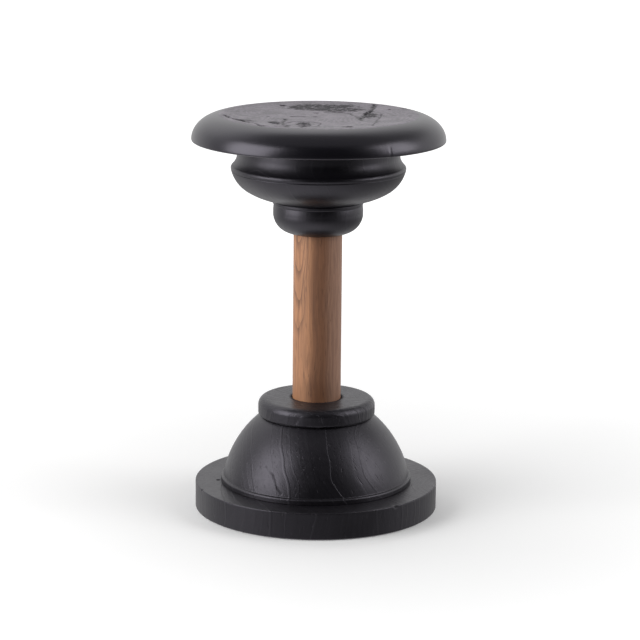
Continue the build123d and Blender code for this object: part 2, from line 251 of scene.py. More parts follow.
def black_dyed_wood(name, pith, lean, ring_width, furrow):
    """Black dyed hardwood under thin satin wax: a near black with a cool cast, soft highlights
    and faint ring lines.

    The log's rings are circles round its pith, a line through the point pith that is turned
    from upright by lean. Slow noise bends them and makes their widths uneven. Each ring ends in
    a hard late line, which stands proud, and starts with open pores, short hollows drawn along
    the grain. Furrow is how much of that relief the sanding has left: at 1 a late line stands
    0.14 mm proud. Pores and lines finer than about 1 mm would not show, so they are drawn that
    wide.
    """
    material, tree, shader, place = new_material(name)
    grain = add_node(tree, "ShaderNodeMapping", {
        "Vector": place, "Location": pith, "Rotation": lean}, vector_type="TEXTURE").outputs[0]
    drift = noise(tree, grain, 32 * MM, 1.5, "Color")
    sway = add_node(tree, "ShaderNodeVectorMath", {
        0: drift, 1: (9 * MM,) * 3, 2: grain}, operation="MULTIPLY_ADD").outputs[0]
    across = stretched(tree, sway, (1, 1, 0))
    reach = add_node(tree, "ShaderNodeVectorMath", {0: across}, operation="LENGTH").outputs["Value"]
    uneven = add_node(tree, "ShaderNodeTexNoise", {
        "W": reach, "Scale": 1 / (3 * ring_width)}, noise_dimensions="1D").outputs["Fac"]
    count = reckon(tree, "MULTIPLY", uneven, 2.5)
    count = reckon(tree, "MULTIPLY_ADD", reach, 1 / ring_width, count)
    part = reckon(tree, "FRACT", count)
    ring = reckon(tree, "FLOOR", count)
    chance = add_node(tree, "ShaderNodeTexWhiteNoise", {
        "W": ring}, noise_dimensions="1D").outputs["Value"]
    rise = ranged(tree, part, 0.55, 0.85, smooth=True)
    fall = ranged(tree, part, 1.0, 0.92, smooth=True)
    late = reckon(tree, "MULTIPLY", rise, fall)
    chance = reckon(tree, "POWER", chance, 1.8)
    late = reckon(tree, "MULTIPLY", late, chance)
    drawn = stretched(tree, sway, (1, 1, 0.04))
    fibres = noise(tree, drawn, 2.2 * MM, 1.0)
    short = stretched(tree, sway, (1, 1, 0.2))
    pores = noise(tree, short, 1.1 * MM, 0.0)
    pores = ranged(tree, pores, 0.64, 0.76)
    early = ranged(tree, part, 0.45, 0.15)
    pores = reckon(tree, "MULTIPLY", pores, early)
    height = reckon(tree, "MULTIPLY_ADD", fibres, 0.35, late)
    height = reckon(tree, "MULTIPLY_ADD", pores, -0.6, height)
    # This mark darkens the colour and dulls the gloss: on the foot and dome it holds real chips, a
    # knot hole and a check, and on the collar a painted shade in a narrow ring round the stem.
    wear_and_shade = add_node(tree, "ShaderNodeAttribute", attribute_name="wear_and_shade").outputs["Fac"]
    tone = ranged(tree, height, -0.3, 1.2)
    colour = mixed(tree, tone, "#070609", "#161519")
    colour = mixed(tree, wear_and_shade, colour, "#060506")
    tree.links.new(colour, shader.inputs["Base Color"])
    patches = noise(tree, place, 24 * MM, 3.0)
    gloss = reckon(tree, "MULTIPLY_ADD", patches, 0.14, 0.28)
    gloss = reckon(tree, "MULTIPLY_ADD", fibres, 0.10, gloss)
    gloss = reckon(tree, "MULTIPLY_ADD", wear_and_shade, 0.4, gloss)
    tree.links.new(gloss, shader.inputs["Roughness"])
    raised(tree, shader, height, furrow, 0.14 * MM)
    shader.inputs["IOR"].default_value = 1.58
    shader.inputs["Specular Tint"].default_value = (0.92, 0.87, 1.0, 1.0)
    return material


disc_low, disc_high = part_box("base_disc")
felt_low, felt_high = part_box("felt_pad")
dome_low, dome_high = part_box("dome")
edge, foot, top = disc_high[0], disc_low[2], disc_high[2]
disc_arris = 0.6 * MM
arris_bulge = 0.176 * MM  # how far the worn arris stands off its own chord
bore = 4.5 * MM
felt_recess = 75.0 * MM
recess_roof = felt_high[2]
counterbore = 13.5 * MM
foot_seat = 13.0 * MM
dome_socket = 30.06 * MM
socket_floor = dome_low[2] - 0.2 * MM
fine_inner = 66 * MM  # the dome hides the disc inside this radius
disc_chips = [
    (-0.0812, -0.0312, top, 1.3 * MM, 0.5 * MM),
    (-0.0600, -0.0630, top, 1.0 * MM, 0.4 * MM),
    (0.0560, -0.0666, top, 1.9 * MM, 0.8 * MM),
    (0.0330, 0.0805, top, 1.4 * MM, 0.5 * MM),
    (-0.0500, 0.0712, top, 1.2 * MM, 0.4 * MM),
]


def disc_cut(place):
    """Chips at the arris, and a 3 mm knot hole near the left edge."""
    knot_hole = (-0.0705, -0.0060, top, 1.5 * MM, 0.6 * MM)
    depth = sunk(place, disc_chips + [knot_hole])
    return depth, {"wear_and_shade": np.clip(depth / (0.5 * MM), 0, 1)}


disc_outline = outline(
    run([(bore, foot_seat), (counterbore, foot_seat), (counterbore, recess_roof)], 4 * MM),
    run([(counterbore, recess_roof), (felt_recess, recess_roof), (felt_recess, foot)], 6 * MM),
    run([(felt_recess, foot), (edge - disc_arris, foot)], 3 * MM),
    bend((edge - disc_arris, foot), (edge, foot + disc_arris), arris_bulge, 0.2 * MM),
    run([(edge, foot + disc_arris), (edge, top - disc_arris)], 0.8 * MM),
    bend((edge, top - disc_arris), (edge - disc_arris, top), arris_bulge, 0.2 * MM),
    run([(edge - disc_arris, top), (fine_inner, top)], 0.6 * MM),
    run([(fine_inner, top), (dome_socket, top), (dome_socket, socket_floor)], 4 * MM),
    run([(dome_socket, socket_floor), (bore, socket_floor), (bore, foot_seat)], 4 * MM),
)
foot_disc = turned("foot_disc", disc_outline, 600, disc_cut)
foot_disc.data.materials.append(black_dyed_wood(
    "dyed_end_grain_foot", (0.105, -0.010, 0), (0.04, 0.06, 0), 3.4 * MM, 1.0))
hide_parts("base_disc")

# ---------------------------------------------------------------- felt
# A disc of pressed felt, die cut and glued into the recess under the foot. It hides the nut and
# the screw heads and keeps the wood off the table.


def felt_cut(place):
    """The fibres' soft unevenness, two sizes of noise, on every face."""
    depth = 0.10 * MM * (1 + lattice_noise(place, 1.6 * MM, 3)) / 2
    depth += 0.08 * MM * (1 + lattice_noise(place, 5 * MM, 4)) / 2
    return depth, {}


def pressed_felt():
    """Black pressed felt: no shine, a soft light edge from its loose fibres, and a matted
    surface. Its tufts are about half a millimetre apart, and are drawn at 1.4 mm to show."""
    material, tree, shader, place = new_material("pressed_felt")
    hairs = noise(tree, place, 1.4 * MM, 4.0, Distortion=1.5)
    colour = mixed(tree, hairs, "#08080a", "#37373c")
    tree.links.new(colour, shader.inputs["Base Color"])
    raised(tree, shader, hairs, 0.8, 0.3 * MM)
    shader.inputs["Roughness"].default_value = 0.95
    shader.inputs["Sheen Weight"].default_value = 0.3
    return material


felt_edge, felt_foot = felt_high[0], felt_low[2]
felt_round = 0.4 * MM
felt_bulge = 0.12 * MM
felt_outline = outline(
    run([(0, felt_foot), (felt_edge - felt_round, felt_foot)], 1.5 * MM),
    bend((felt_edge - felt_round, felt_foot), (felt_edge, felt_foot + felt_round),
         felt_bulge, 0.2 * MM),
    run([(felt_edge, felt_foot + felt_round), (felt_edge, recess_roof), (0, recess_roof)], 2 * MM),
)
felt = turned("felt", felt_outline, 320, felt_cut)
felt.data.materials.append(pressed_felt())
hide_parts("felt_pad")

# ---------------------------------------------------------------- dome
# The dome is turned from one thick block with its pith leaning, so growth rings run down its
# side as thin slanting lines. A small square plinth at its foot stands on the disc.
plinth_radius = dome_high[0]
plinth_top = top + 4.2 * MM
plinth_round = 1.5 * MM
quarter_bulge = 1 - math.sqrt(0.5)  # a quarter circle's, as a share of its radius
dome_spigot = 30 * MM
dome_foot = 66.9 * MM
dome_shoulder = 39.9 * MM
dome_bulge = 4.6 * MM
tenon = 11.06 * MM
tenon_floor = 50.5 * MM
dome_check = [(-0.0353, -0.0485, 0.0420), (-0.0300, -0.0545, 0.0380),
              (-0.0275, -0.0575, 0.0320), (-0.0240, -0.0615, 0.0260)]


def from_route(place, route):
    """Distance from a route of corners: the nearest point of each straight run is the place's
    projection on it, held between the run's ends, and the nearest run counts."""
    corners = np.array(route, float)
    nearest = np.full(place.shape[:-1], np.inf)
    for start, end in zip(corners[:-1], corners[1:]):
        ahead = end - start
        share = np.clip((place - start) @ ahead / (ahead @ ahead), 0, 1)
        away = np.linalg.norm(place - start - share[..., None] * ahead, axis=-1)
        nearest = np.minimum(nearest, away)
    return nearest


def hair_check(place, route, width, deep, bend_by):
    """Depth of one hairline drying check along a route of corners: full on the route, falling
    to nothing one width away, with its line bent by noise."""
    shift = np.stack([lattice_noise(place, 6 * MM, seed) for seed in (11, 12, 13)], axis=-1)
    away = from_route(place + bend_by * shift, route)
    return deep * np.clip(1 - away / width, 0, 1)


def dome_cut(place):
    """One curved check on the left of the dome's front, and a small crater high on its right."""
    crater = (0.0100, -0.0490, 0.0580, 1.2 * MM, 0.3 * MM)
    depth = hair_check(place, dome_check, 0.9 * MM, 0.5 * MM, 1.0 * MM)
    depth = np.maximum(depth, sunk(place, [crater]))
    return depth, {"wear_and_shade": np.clip(depth / (0.5 * MM), 0, 1)}


crown = dome_high[2]
dome_outline = outline(
    run([(bore, dome_low[2]), (dome_spigot, dome_low[2]), (dome_spigot, top),
         (plinth_radius, top)], 4 * MM),
    run([(plinth_radius, top), (plinth_radius, plinth_top - plinth_round)], 0.5 * MM),
    bend((plinth_radius, plinth_top - plinth_round), (plinth_radius - plinth_round, plinth_top),
         plinth_round * quarter_bulge, 0.2 * MM),
    run([(plinth_radius - plinth_round, plinth_top), (dome_foot, plinth_top)], 0.3 * MM),
    bend((dome_foot, plinth_top), (dome_shoulder, crown), dome_bulge, 0.6 * MM),
    run([(dome_shoulder, crown), (tenon, crown), (tenon, tenon_floor),
         (bore, tenon_floor)], 4 * MM),
    run([(bore, tenon_floor), (bore, dome_low[2])], 4 * MM),
)
dome = turned("dome_block", dome_outline, 600, dome_cut)
dome.data.materials.append(black_dyed_wood(
    "dyed_leaning_grain_dome", (-0.190, 0.030, 0.045), (0.04, -0.50, 0), 4.0 * MM, 0.85))
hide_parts("dome")

# ---------------------------------------------------------------- collar
# A thick ring, end grain up, with a well rounded upper edge. The stem stands in a shallow seat
# turned in its top, and the gap round the stem shows as a thin dark line. A painted shade also
# darkens the collar's top in a narrow ring round the stem.
collar_low, collar_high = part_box("collar")
stem_low, stem_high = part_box("stem")
collar_round = 5.4 * MM
collar_foot_round = 2.2 * MM
stem_radius = 17.3 * MM
seat_radius = stem_radius + 0.5 * MM
seat_depth = 1.6 * MM
collar_radius, collar_top, collar_foot = collar_high[0], collar_high[2], collar_low[2]
seat_floor = collar_top - seat_depth
seat_ease = 0.3 * MM
collar_outline = outline(
    run([(tenon, collar_foot), (collar_radius - collar_foot_round, collar_foot)], 3 * MM),
    bend((collar_radius - collar_foot_round, collar_foot),
         (collar_radius, collar_foot + collar_foot_round),
         collar_foot_round * quarter_bulge, 0.3 * MM),
    run([(collar_radius, collar_foot + collar_foot_round),
         (collar_radius, collar_top - collar_round)], 0.7 * MM),
    bend((collar_radius, collar_top - collar_round), (collar_radius - collar_round, collar_top),
         collar_round * quarter_bulge, 0.4 * MM),
    run([(collar_radius - collar_round, collar_top), (seat_radius + seat_ease, collar_top)],
        0.6 * MM),
    run([(seat_radius + seat_ease, collar_top), (seat_radius, collar_top - seat_ease)], 0.15 * MM),
    run([(seat_radius, collar_top - seat_ease), (seat_radius, seat_floor)], 0.5 * MM),
    run([(seat_radius, seat_floor), (tenon, seat_floor), (tenon, collar_foot)], 3 * MM),
)


def collar_cut(place):
    """No cut, but a painted shade darkens and dulls the collar's top in a narrow ring round the
    stem.
    """
    out = np.hypot(place[..., 0], place[..., 1]) - seat_radius
    # Painted shade round the stem's foot: full to 0.5 mm from the seat's edge, gone at 2.2 mm,
    # above the seat floor.
    stem_foot_shade = np.clip(1.3 - out / (1.7 * MM), 0, 1) * (place[..., 2] > seat_floor)
    return np.zeros(place.shape[:-1]), {"wear_and_shade": stem_foot_shade}


collar = turned("collar_ring", collar_outline, 480, collar_cut)
collar.data.materials.append(black_dyed_wood(
    "dyed_end_grain_collar", (0.012, 0.045, 0), (0.04, 0.02, 0), 2.2 * MM, 2.2))
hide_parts("collar")

# ---------------------------------------------------------------- stem
# The stem is a plain cylinder of brown hardwood with its grain along it, turned with a tenon at
# each end and finished with a thin oil, so the wood keeps its own colour.
bulb_low, bulb_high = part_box("bulb")
stem_top = bulb_low[2]
stem_tenon = 11.0 * MM
stem_ease = 0.4 * MM
stem_outline = outline(
    run([(bore, stem_low[2]), (stem_tenon, stem_low[2]), (stem_tenon, seat_floor)], 4 * MM),
    run([(stem_tenon, seat_floor), (stem_radius - stem_ease, seat_floor)], 3 * MM),
    run([(stem_radius - stem_ease, seat_floor), (stem_radius, seat_floor + stem_ease)], 0.2 * MM),
    run([(stem_radius, seat_floor + stem_ease), (stem_radius, stem_top - stem_ease)], 0.8 * MM),
    run([(stem_radius, stem_top - stem_ease), (stem_radius - stem_ease, stem_top)], 0.2 * MM),
    run([(stem_radius - stem_ease, stem_top), (stem_tenon, stem_top),
         (stem_tenon, stem_high[2])], 3 * MM),
    run([(stem_tenon, stem_high[2]), (bore, stem_high[2])], 3 * MM),
    run([(bore, stem_high[2]), (bore, stem_low[2])], 6 * MM),
)


def oiled_brown_wood():
    """Plain brown hardwood, like walnut in its paler cuts, under a thin satin oil.

    The cut runs from pale sapwood on the left, through a darker band with a wavy edge, to
    greyer brown on the right. Nested arches, where the rings are cut nearly level with their
    faces, rise from a tip on the left: their lines are a height, counted in rises of 21 mm,
    less the square of the distance from the arches' axis, counted in half widths. Stretched
    noise draws the fibres and the short dark pores.
    """
    material, tree, shader, place = new_material("oiled_brown_hardwood")
    slow = stretched(tree, place, (1, 1, 0.3))
    drift = noise(tree, slow, 14 * MM, 2.0, "Color")
    sway = add_node(tree, "ShaderNodeVectorMath", {
        0: drift, 1: (7 * MM,) * 3, 2: place}, operation="MULTIPLY_ADD").outputs[0]
    wide = add_node(tree, "ShaderNodeSeparateXYZ", {0: sway})
    darker = ranged(tree, wide.outputs["X"], -3 * MM, 2 * MM, smooth=True)
    greyer = ranged(tree, wide.outputs["X"], 7 * MM, 14 * MM, smooth=True)
    base = mixed(tree, darker, "#bd865f", "#8e6247")
    base = mixed(tree, greyer, base, "#a47a62")
    arch_axis, arch_half_width = -9.5 * MM, 3.4 * MM
    arch_start, arch_rise = 136 * MM, 21 * MM
    aside = reckon(tree, "ADD", wide.outputs["X"], -arch_axis)
    aside = reckon(tree, "MULTIPLY", aside, 1 / arch_half_width)
    aside = reckon(tree, "MULTIPLY", aside, aside)
    rise = reckon(tree, "MULTIPLY_ADD", wide.outputs["Z"], 1 / arch_rise, -arch_start / arch_rise)
    arch = reckon(tree, "SUBTRACT", rise, aside)
    above = ranged(tree, arch, -1.2, 0.3)
    arch = reckon(tree, "FRACT", arch)
    arch = ranged(tree, arch, 0.55, 0.95)
    arch = reckon(tree, "MULTIPLY", arch, above)
    drawn = stretched(tree, sway, (1, 1, 0.03))
    fibres = noise(tree, drawn, 1.3 * MM, 4.0, Roughness=0.6)
    short = stretched(tree, sway, (1, 1, 0.09))
    pores = noise(tree, short, 0.8 * MM, 1.0)
    pores = ranged(tree, pores, 0.64, 0.80, top=0.6)
    lines = ranged(tree, fibres, 0.35, 0.80, top=0.7)
    shade = reckon(tree, "MULTIPLY_ADD", arch, 0.45, lines)
    colour = mixed(tree, shade, base, "#5e4031")
    colour = mixed(tree, pores, colour, "#4a3226")
    tree.links.new(colour, shader.inputs["Base Color"])
    gloss = reckon(tree, "MULTIPLY_ADD", fibres, 0.2, 0.42)
    tree.links.new(gloss, shader.inputs["Roughness"])
    raised(tree, shader, fibres, 0.3, 0.15 * MM)
    shader.inputs["IOR"].default_value = 1.5
    return material


stem = turned("stem_post", stem_outline, 320)
stem.data.materials.append(oiled_brown_wood())
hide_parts("stem")

# ---------------------------------------------------------------- bulb
# A small half-round block, dyed black like the others. It takes the stem's upper tenon, and a
# short spigot on its top centres it in the bowl.
bulb_foot = 19.6 * MM
bulb_side = (31.9 * MM, 216.0 * MM)
bulb_waist = (31.45 * MM, 221.4 * MM)
bulb_lip = 31.95 * MM
bulb_crown = 31.2 * MM
bulb_top = bulb_high[2] - 5.0 * MM
bulb_spigot = 18.0 * MM
upper_socket = stem_high[2] + 0.5 * MM
bulb_outline = outline(
    run([(tenon, stem_top), (bulb_foot, stem_top)], 2 * MM),
    bend((bulb_foot, stem_top), bulb_side, 3.8 * MM, 0.5 * MM),
    bend(bulb_side, bulb_waist, 0.15 * MM, 0.5 * MM),
    run([bulb_waist, (bulb_lip, 221.8 * MM), (bulb_lip, 223.4 * MM), (bulb_crown, bulb_top)],
        0.25 * MM),
    run([(bulb_crown, bulb_top), (bulb_spigot, bulb_top), (bulb_spigot, bulb_high[2])], 3 * MM),
    run([(bulb_spigot, bulb_high[2]), (bore, bulb_high[2]), (bore, upper_socket)], 3 * MM),
    run([(bore, upper_socket), (tenon, upper_socket), (tenon, stem_top)], 3 * MM),
)
bulb = turned("bulb_block", bulb_outline, 400)
bulb.data.materials.append(black_dyed_wood(
    "dyed_side_grain_bulb", (0.050, -0.020, 0), (0.06, 0.08, 0), 2.4 * MM, 0.35))
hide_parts("bulb")

# ---------------------------------------------------------------- bowl
# A shallow bowl turned from a broad block. Its upper edge is crisp, and the joint with the neck
# ring shows as a fine groove. The rod's upper nut sits in a counterbore in its top.
bowl_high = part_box("bowl")[1]
bowl_foot = 31.6 * MM
bowl_knuckle = (51.4 * MM, 231.5 * MM)
bowl_lip = 61.35 * MM
bowl_top = bowl_high[2]
bowl_edge = (bowl_high[0], bowl_top - 0.3 * MM)
head_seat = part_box("head_washer")[0][2]
neck_hole = 34.06 * MM
neck_socket = bowl_top - 4.2 * MM
bowl_socket = bulb_high[2] + 0.5 * MM
bulb_hole = bulb_spigot + 0.06 * MM
bowl_outline = outline(
    run([(bulb_hole, bulb_top), (bowl_foot, bulb_top)], 2 * MM),
    bend((bowl_foot, bulb_top), bowl_knuckle, 1.1 * MM, 0.6 * MM),
    bend(bowl_knuckle, bowl_edge, 1.6 * MM, 0.6 * MM),
    run([bowl_edge, (bowl_lip, bowl_top)], 0.2 * MM),
    run([(bowl_lip, bowl_top), (neck_hole, bowl_top)], 3 * MM),
    run([(neck_hole, bowl_top), (neck_hole, neck_socket), (counterbore, neck_socket)], 3 * MM),
    run([(counterbore, neck_socket), (counterbore, head_seat), (bore, head_seat)], 3 * MM),
    run([(bore, head_seat), (bore, bowl_socket), (bulb_hole, bowl_socket)], 3 * MM),
    run([(bulb_hole, bowl_socket), (bulb_hole, bulb_top)], 3 * MM),
)
bowl = turned("bowl_block", bowl_outline, 480)
bowl.data.materials.append(black_dyed_wood(
    "dyed_side_grain_bowl", (-0.090, 0.060, 0), (0.10, -0.08, 0), 3.0 * MM, 0.35))
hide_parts("bowl")

# ---------------------------------------------------------------- neck ring
# A ring with a sharp shoulder at its foot and a hollow curve up to the straight neck that
# carries the plate. It closes the hollow round the rod's upper nut.
neck_low, neck_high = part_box("neck_ring")
neck_spigot = 34 * MM
shoulder_foot = (61.65 * MM, 245.9 * MM)
shoulder = (neck_high[0], 247.1 * MM)
shoulder_end = (60.7 * MM, 249.4 * MM)
cove_end = (57.3 * MM, 257.8 * MM)
neck_opening = 14.0 * MM
neck_outline = outline(
    run([(neck_opening, neck_low[2]), (neck_spigot, neck_low[2]), (neck_spigot, bowl_top)], 4 * MM),
    run([(neck_spigot, bowl_top), (bowl_lip, bowl_top)], 4 * MM),
    run([(bowl_lip, bowl_top), shoulder_foot, shoulder], 0.3 * MM),
    bend(shoulder, shoulder_end, 0.3 * MM, 0.3 * MM),
    bend(shoulder_end, cove_end, -0.88 * MM, 0.5 * MM),
    run([cove_end, (cove_end[0], neck_high[2])], 0.8 * MM),
    run([(cove_end[0], neck_high[2]), (neck_opening, neck_high[2]),
         (neck_opening, neck_low[2])], 4 * MM),
)
neck = turned("neck_block", neck_outline, 480)
neck.data.materials.append(black_dyed_wood(
    "dyed_side_grain_neck", (0.080, 0.100, 0), (-0.05, 0.10, 0), 2.8 * MM, 0.35))
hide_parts("neck_ring")

# ---------------------------------------------------------------- candle plate
# The plate is cut across a crotch of the tree, so its dish shows burled end grain with bark
# seams, drying checks and pits. Its rim is turned to a full round, with one short split.
plate_low, plate_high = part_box("candle_plate")
plate_radius, plate_top = plate_high[0], plate_high[2]
plate_foot = neck_high[2]
plate_ease = 0.9 * MM
ease_bulge = 0.264 * MM
plate_spigot = 13.94 * MM
dish_step = 0.72 * MM
crest = 67.0 * MM
dish_floor = plate_top - 2.4 * MM
floor_radius = 30.0 * MM
checks = [
    ([(-65, -6), (-63, -18), (-54, -24), (-50, -34), (-45, -40), (-39, -56), (-30, -55),
      (-24, -47)], 1.3, 1.3),
    ([(-24, -30), (-18, -22), (-6, -21), (2, -29), (0, -42), (-10, -50), (-21, -46),
      (-24, -30)], 0.8, 0.5),
    ([(40, 50), (35, 24), (32, 14), (29, -10)], 1.5, 1.0),
    ([(44, 16), (40, -20), (37, -48)], 0.8, 0.6),
    ([(4, 26), (20, 22), (28, 4), (28, -14)], 0.9, 0.6),
    ([(-24, -8), (-25, -32), (-20, -60)], 1.3, 0.7),
    ([(-9, -26), (-10, -44), (-12, -58)], 0.9, 0.5),
    ([(-34, -28), (-29, -36)], 0.9, 0.6),
    ([(-18, 4), (-11, 4)], 1.4, 0.8),
]
pits = [
    (-3, 22, 2.2, 1.0), (-3, 4, 1.7, 0.8), (-35, 4, 1.5, 0.8), (-27, 51, 2.2, 1.0),
    (-26, 68, 1.8, 0.8), (62, 32, 2.0, 1.0), (50, 32, 1.6, 0.8), (47, 48, 1.9, 0.9),
    (64, -2, 1.6, 0.7), (43, 12, 1.8, 0.8), (20, -52, 2.8, 1.0),
]
rim_check = [(0.0490, -0.0750, 0.2675), (0.0483, -0.0742, 0.2752)]
bark_patches = [
    (2, 46, 38, 17), (16, 38, 20, 16), (-31, -28, 6, 12), (-10, -36, 7, 20), (19, -50, 6, 9),
    (-52, -26, 10, 8), (36, 16, 6, 26),
]


def rim_points():
    """The rim is a quarter of an ellipse, from level with the lower arris in to the crest."""
    angle = np.linspace(0, math.pi / 2, 38)
    base = plate_foot + plate_ease
    return np.stack([crest + (plate_radius - crest) * np.cos(angle),
                     base + (plate_top - base) * np.sin(angle)], axis=1)


def dish_points():
    """The dish is a circular arc that leaves the crest and runs level into the flat floor."""
    wide, deep = crest - floor_radius, plate_top - dish_floor
    radius = (wide ** 2 + deep ** 2) / (2 * deep)
    reach = np.arange(wide, 0, -dish_step)
    height = dish_floor + radius - np.sqrt(radius ** 2 - reach ** 2)
    return np.stack([floor_radius + reach, height], axis=1)


def plate_cut(place):
    """Depth and marks of the plate's faults: those on its upper face, worked out in
    millimetres, and the short split in its rim.

    The places are bent by two sizes of noise, which makes every fault ragged. A check is
    (route, width, depth), a pit is a bowl (x, y, radius, depth), and a bark patch is an ellipse
    (x, y, half width, half length) that fades out over its outer half. The mark "pale" is the
    end grain on top, painted lighter: partly the dye there took badly, and partly the lighter
    grey is a painted reflection of the bright backdrop, which the top catches at a low angle.
    """
    pale_edge = 71.0
    flat = place * np.array([1, 1, 0]) / MM
    small = np.stack([lattice_noise(flat, 3.0, seed) for seed in (21, 22)], axis=-1)
    broad = np.stack([lattice_noise(flat, 11.0, seed) for seed in (23, 24)], axis=-1)
    bent = flat[..., :2] + 1.0 * small + 1.5 * broad
    upper = place[..., 2] > plate_top - 3.2 * MM
    depth = np.zeros(place.shape[:-1])
    for route, width, deep in checks:
        away = from_route(bent, route)
        depth = np.maximum(depth, deep * np.clip(1.2 - away / width, 0, 1))
    for x, y, radius, deep in pits:
        away = np.hypot(bent[..., 0] - x, bent[..., 1] - y) / radius
        depth = np.maximum(depth, deep * np.clip(1 - away ** 2, 0, 1))
    split = hair_check(place, rim_check, 0.7 * MM, 0.5 * MM, 0.3 * MM)
    bark = np.zeros(place.shape[:-1])
    for x, y, wide, tall in bark_patches:
        away = np.hypot((bent[..., 0] - x) / wide, (bent[..., 1] - y) / tall)
        bark = np.maximum(bark, np.clip((1.15 - away) / 0.6, 0, 1))
    # Lighter top inside the crest: partly badly dyed end grain, partly a painted reflection of the
    # bright backdrop seen at a low angle.
    inside = pale_edge + small[..., 0] - np.hypot(flat[..., 0], flat[..., 1])
    pale = upper * np.clip(inside / 1.2, 0, 1)
    wear_and_shade = np.clip(depth * 1.4, 0, 1) * upper + np.clip(split / (0.4 * MM), 0, 1)
    marks = {"wear_and_shade": np.clip(wear_and_shade, 0, 1), "bark": bark * pale, "pale": pale}
    return depth * MM * upper + split, marks


def between(tree, share, first, second):
    """The first number where the share is 0 and the second where it is 1."""
    return add_node(tree, "ShaderNodeMix", {0: share, 2: first, 3: second}).outputs[0]


def burled_end_grain():
    """Black dyed burled end grain. On top the wood is painted a lighter grey with a silky sheen,
    broken by rough black bark: partly the dye there has taken badly, and partly the grey is a
    painted reflection of the bright backdrop, which the top catches at a low angle. The rim is
    smooth and black.

    Rings bend round several knots, so the figure is a distorted ring pattern. Its pores are end
    on, so they show as dots, drawn about 1 mm wide to be seen at all.
    """
    material, tree, shader, place = new_material("dyed_burled_end_grain_plate")
    drift = noise(tree, place, 22 * MM, 2.0, "Color")
    sway = add_node(tree, "ShaderNodeVectorMath", {
        0: drift, 1: (34 * MM,) * 3, 2: place}, operation="MULTIPLY_ADD").outputs[0]
    across = stretched(tree, sway, (1, 1, 0))
    reach = add_node(tree, "ShaderNodeVectorMath", {0: across}, operation="LENGTH").outputs["Value"]
    rings = reckon(tree, "MULTIPLY", reach, 2 * math.pi / (4.5 * MM))
    rings = reckon(tree, "SINE", rings)
    specks = noise(tree, place, 1.6 * MM, 3.0, Roughness=0.65)
    cloud = noise(tree, place, 14 * MM, 3.0)
    tone = reckon(tree, "MULTIPLY_ADD", rings, 0.10, specks)
    tone = reckon(tree, "MULTIPLY_ADD", cloud, 0.9, tone)
    light = ranged(tree, tone, 0.6, 1.3)
    grey = mixed(tree, light, "#3d383e", "#857d87")
    bark = add_node(tree, "ShaderNodeAttribute", attribute_name="bark").outputs["Fac"]
    crumbs = noise(tree, place, 4.5 * MM, 5.0, Roughness=0.7, Distortion=0.8)
    ragged = reckon(tree, "MULTIPLY_ADD", crumbs, -3.0, bark)
    ragged = ranged(tree, ragged, -0.95, -0.40, smooth=True)
    ragged = reckon(tree, "MULTIPLY", ragged, bark)
    inside = mixed(tree, ragged, grey, "#171416")
    # Lighter grey on top: partly the end grain's own badly taken dye, partly a painted reflection
    # of the bright backdrop.
    pale = add_node(tree, "ShaderNodeAttribute", attribute_name="pale").outputs["Fac"]
    colour = mixed(tree, pale, "#121116", inside)
    wear_and_shade = add_node(tree, "ShaderNodeAttribute", attribute_name="wear_and_shade").outputs["Fac"]
    colour = mixed(tree, wear_and_shade, colour, "#0c0a0a")
    tree.links.new(colour, shader.inputs["Base Color"])
    gloss = reckon(tree, "MULTIPLY_ADD", pale, 0.14, 0.30)
    gloss = reckon(tree, "MULTIPLY_ADD", ragged, 0.25, gloss)
    tree.links.new(gloss, shader.inputs["Roughness"])
    drawn = stretched(tree, sway, (1, 1, 0.05))
    fibres = noise(tree, drawn, 2.0 * MM, 1.0)
    fibres = reckon(tree, "MULTIPLY", fibres, 0.3)
    rough = reckon(tree, "MULTIPLY_ADD", ragged, 2.5, 0.5)
    rough = reckon(tree, "MULTIPLY", rough, specks)
    height = between(tree, pale, fibres, rough)
    raised(tree, shader, height, 0.9, 0.14 * MM)
    shader.inputs["IOR"].default_value = 1.58
    shader.inputs["Specular Tint"].default_value = (0.92, 0.87, 1.0, 1.0)
    return material


plate_outline = outline(
    run([(0, plate_low[2]), (plate_spigot, plate_low[2]), (plate_spigot, plate_foot)], 3 * MM),
    run([(plate_spigot, plate_foot), (plate_radius - plate_ease, plate_foot)], 6 * MM),
    bend((plate_radius - plate_ease, plate_foot), (plate_radius, plate_foot + plate_ease),
         ease_bulge, 0.3 * MM),
    rim_points(),
    dish_points(),
    run([(floor_radius, dish_floor), (0, dish_floor)], dish_step),
)
plate = turned("plate_block", plate_outline, 600, plate_cut)
plate.data.materials.append(burled_end_grain())
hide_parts("candle_plate")

# ---------------------------------------------------------------- rod, nuts, washers and screws
# The rod and its nuts and washers are stock steel parts, zinc plated and bright. So are the
# four wood screws that hold the disc to the dome.


def zinc_plated_steel():
    """Bright zinc plating on steel: a pale metal, slightly uneven in gloss where it was
    tumbled, with faint blotches about 3 mm across."""
    material, tree, shader, place = new_material("bright_zinc_plated_steel")
    blotch = noise(tree, place, 3 * MM, 3.0)
    colour = mixed(tree, blotch, "#b4b6b6", "#d6d4cc")
    tree.links.new(colour, shader.inputs["Base Color"])
    gloss = reckon(tree, "MULTIPLY_ADD", blotch, 0.3, 0.18)
    tree.links.new(gloss, shader.inputs["Roughness"])
    shader.inputs["Metallic"].default_value = 1.0
    return material


def dressed(nodes, material):
    """Gives the plain bodies of these nodes one material in every slot."""
    for node in nodes:
        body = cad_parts[node]
        if not body.material_slots:
            body.data.materials.append(material)
        for slot in body.material_slots:
            slot.material = material


dressed(("tie_rod", "foot_nut", "foot_lock_washer", "foot_washer", "head_washer",
         "head_lock_washer", "head_nut", "base_screws"), zinc_plated_steel())

# ---------------------------------------------------------------- dowels
# Stock fluted beech dowels, raw, three in each ring. They stand in blind holes and keep the
# collar, the neck ring and the plate from turning on the blocks below them.


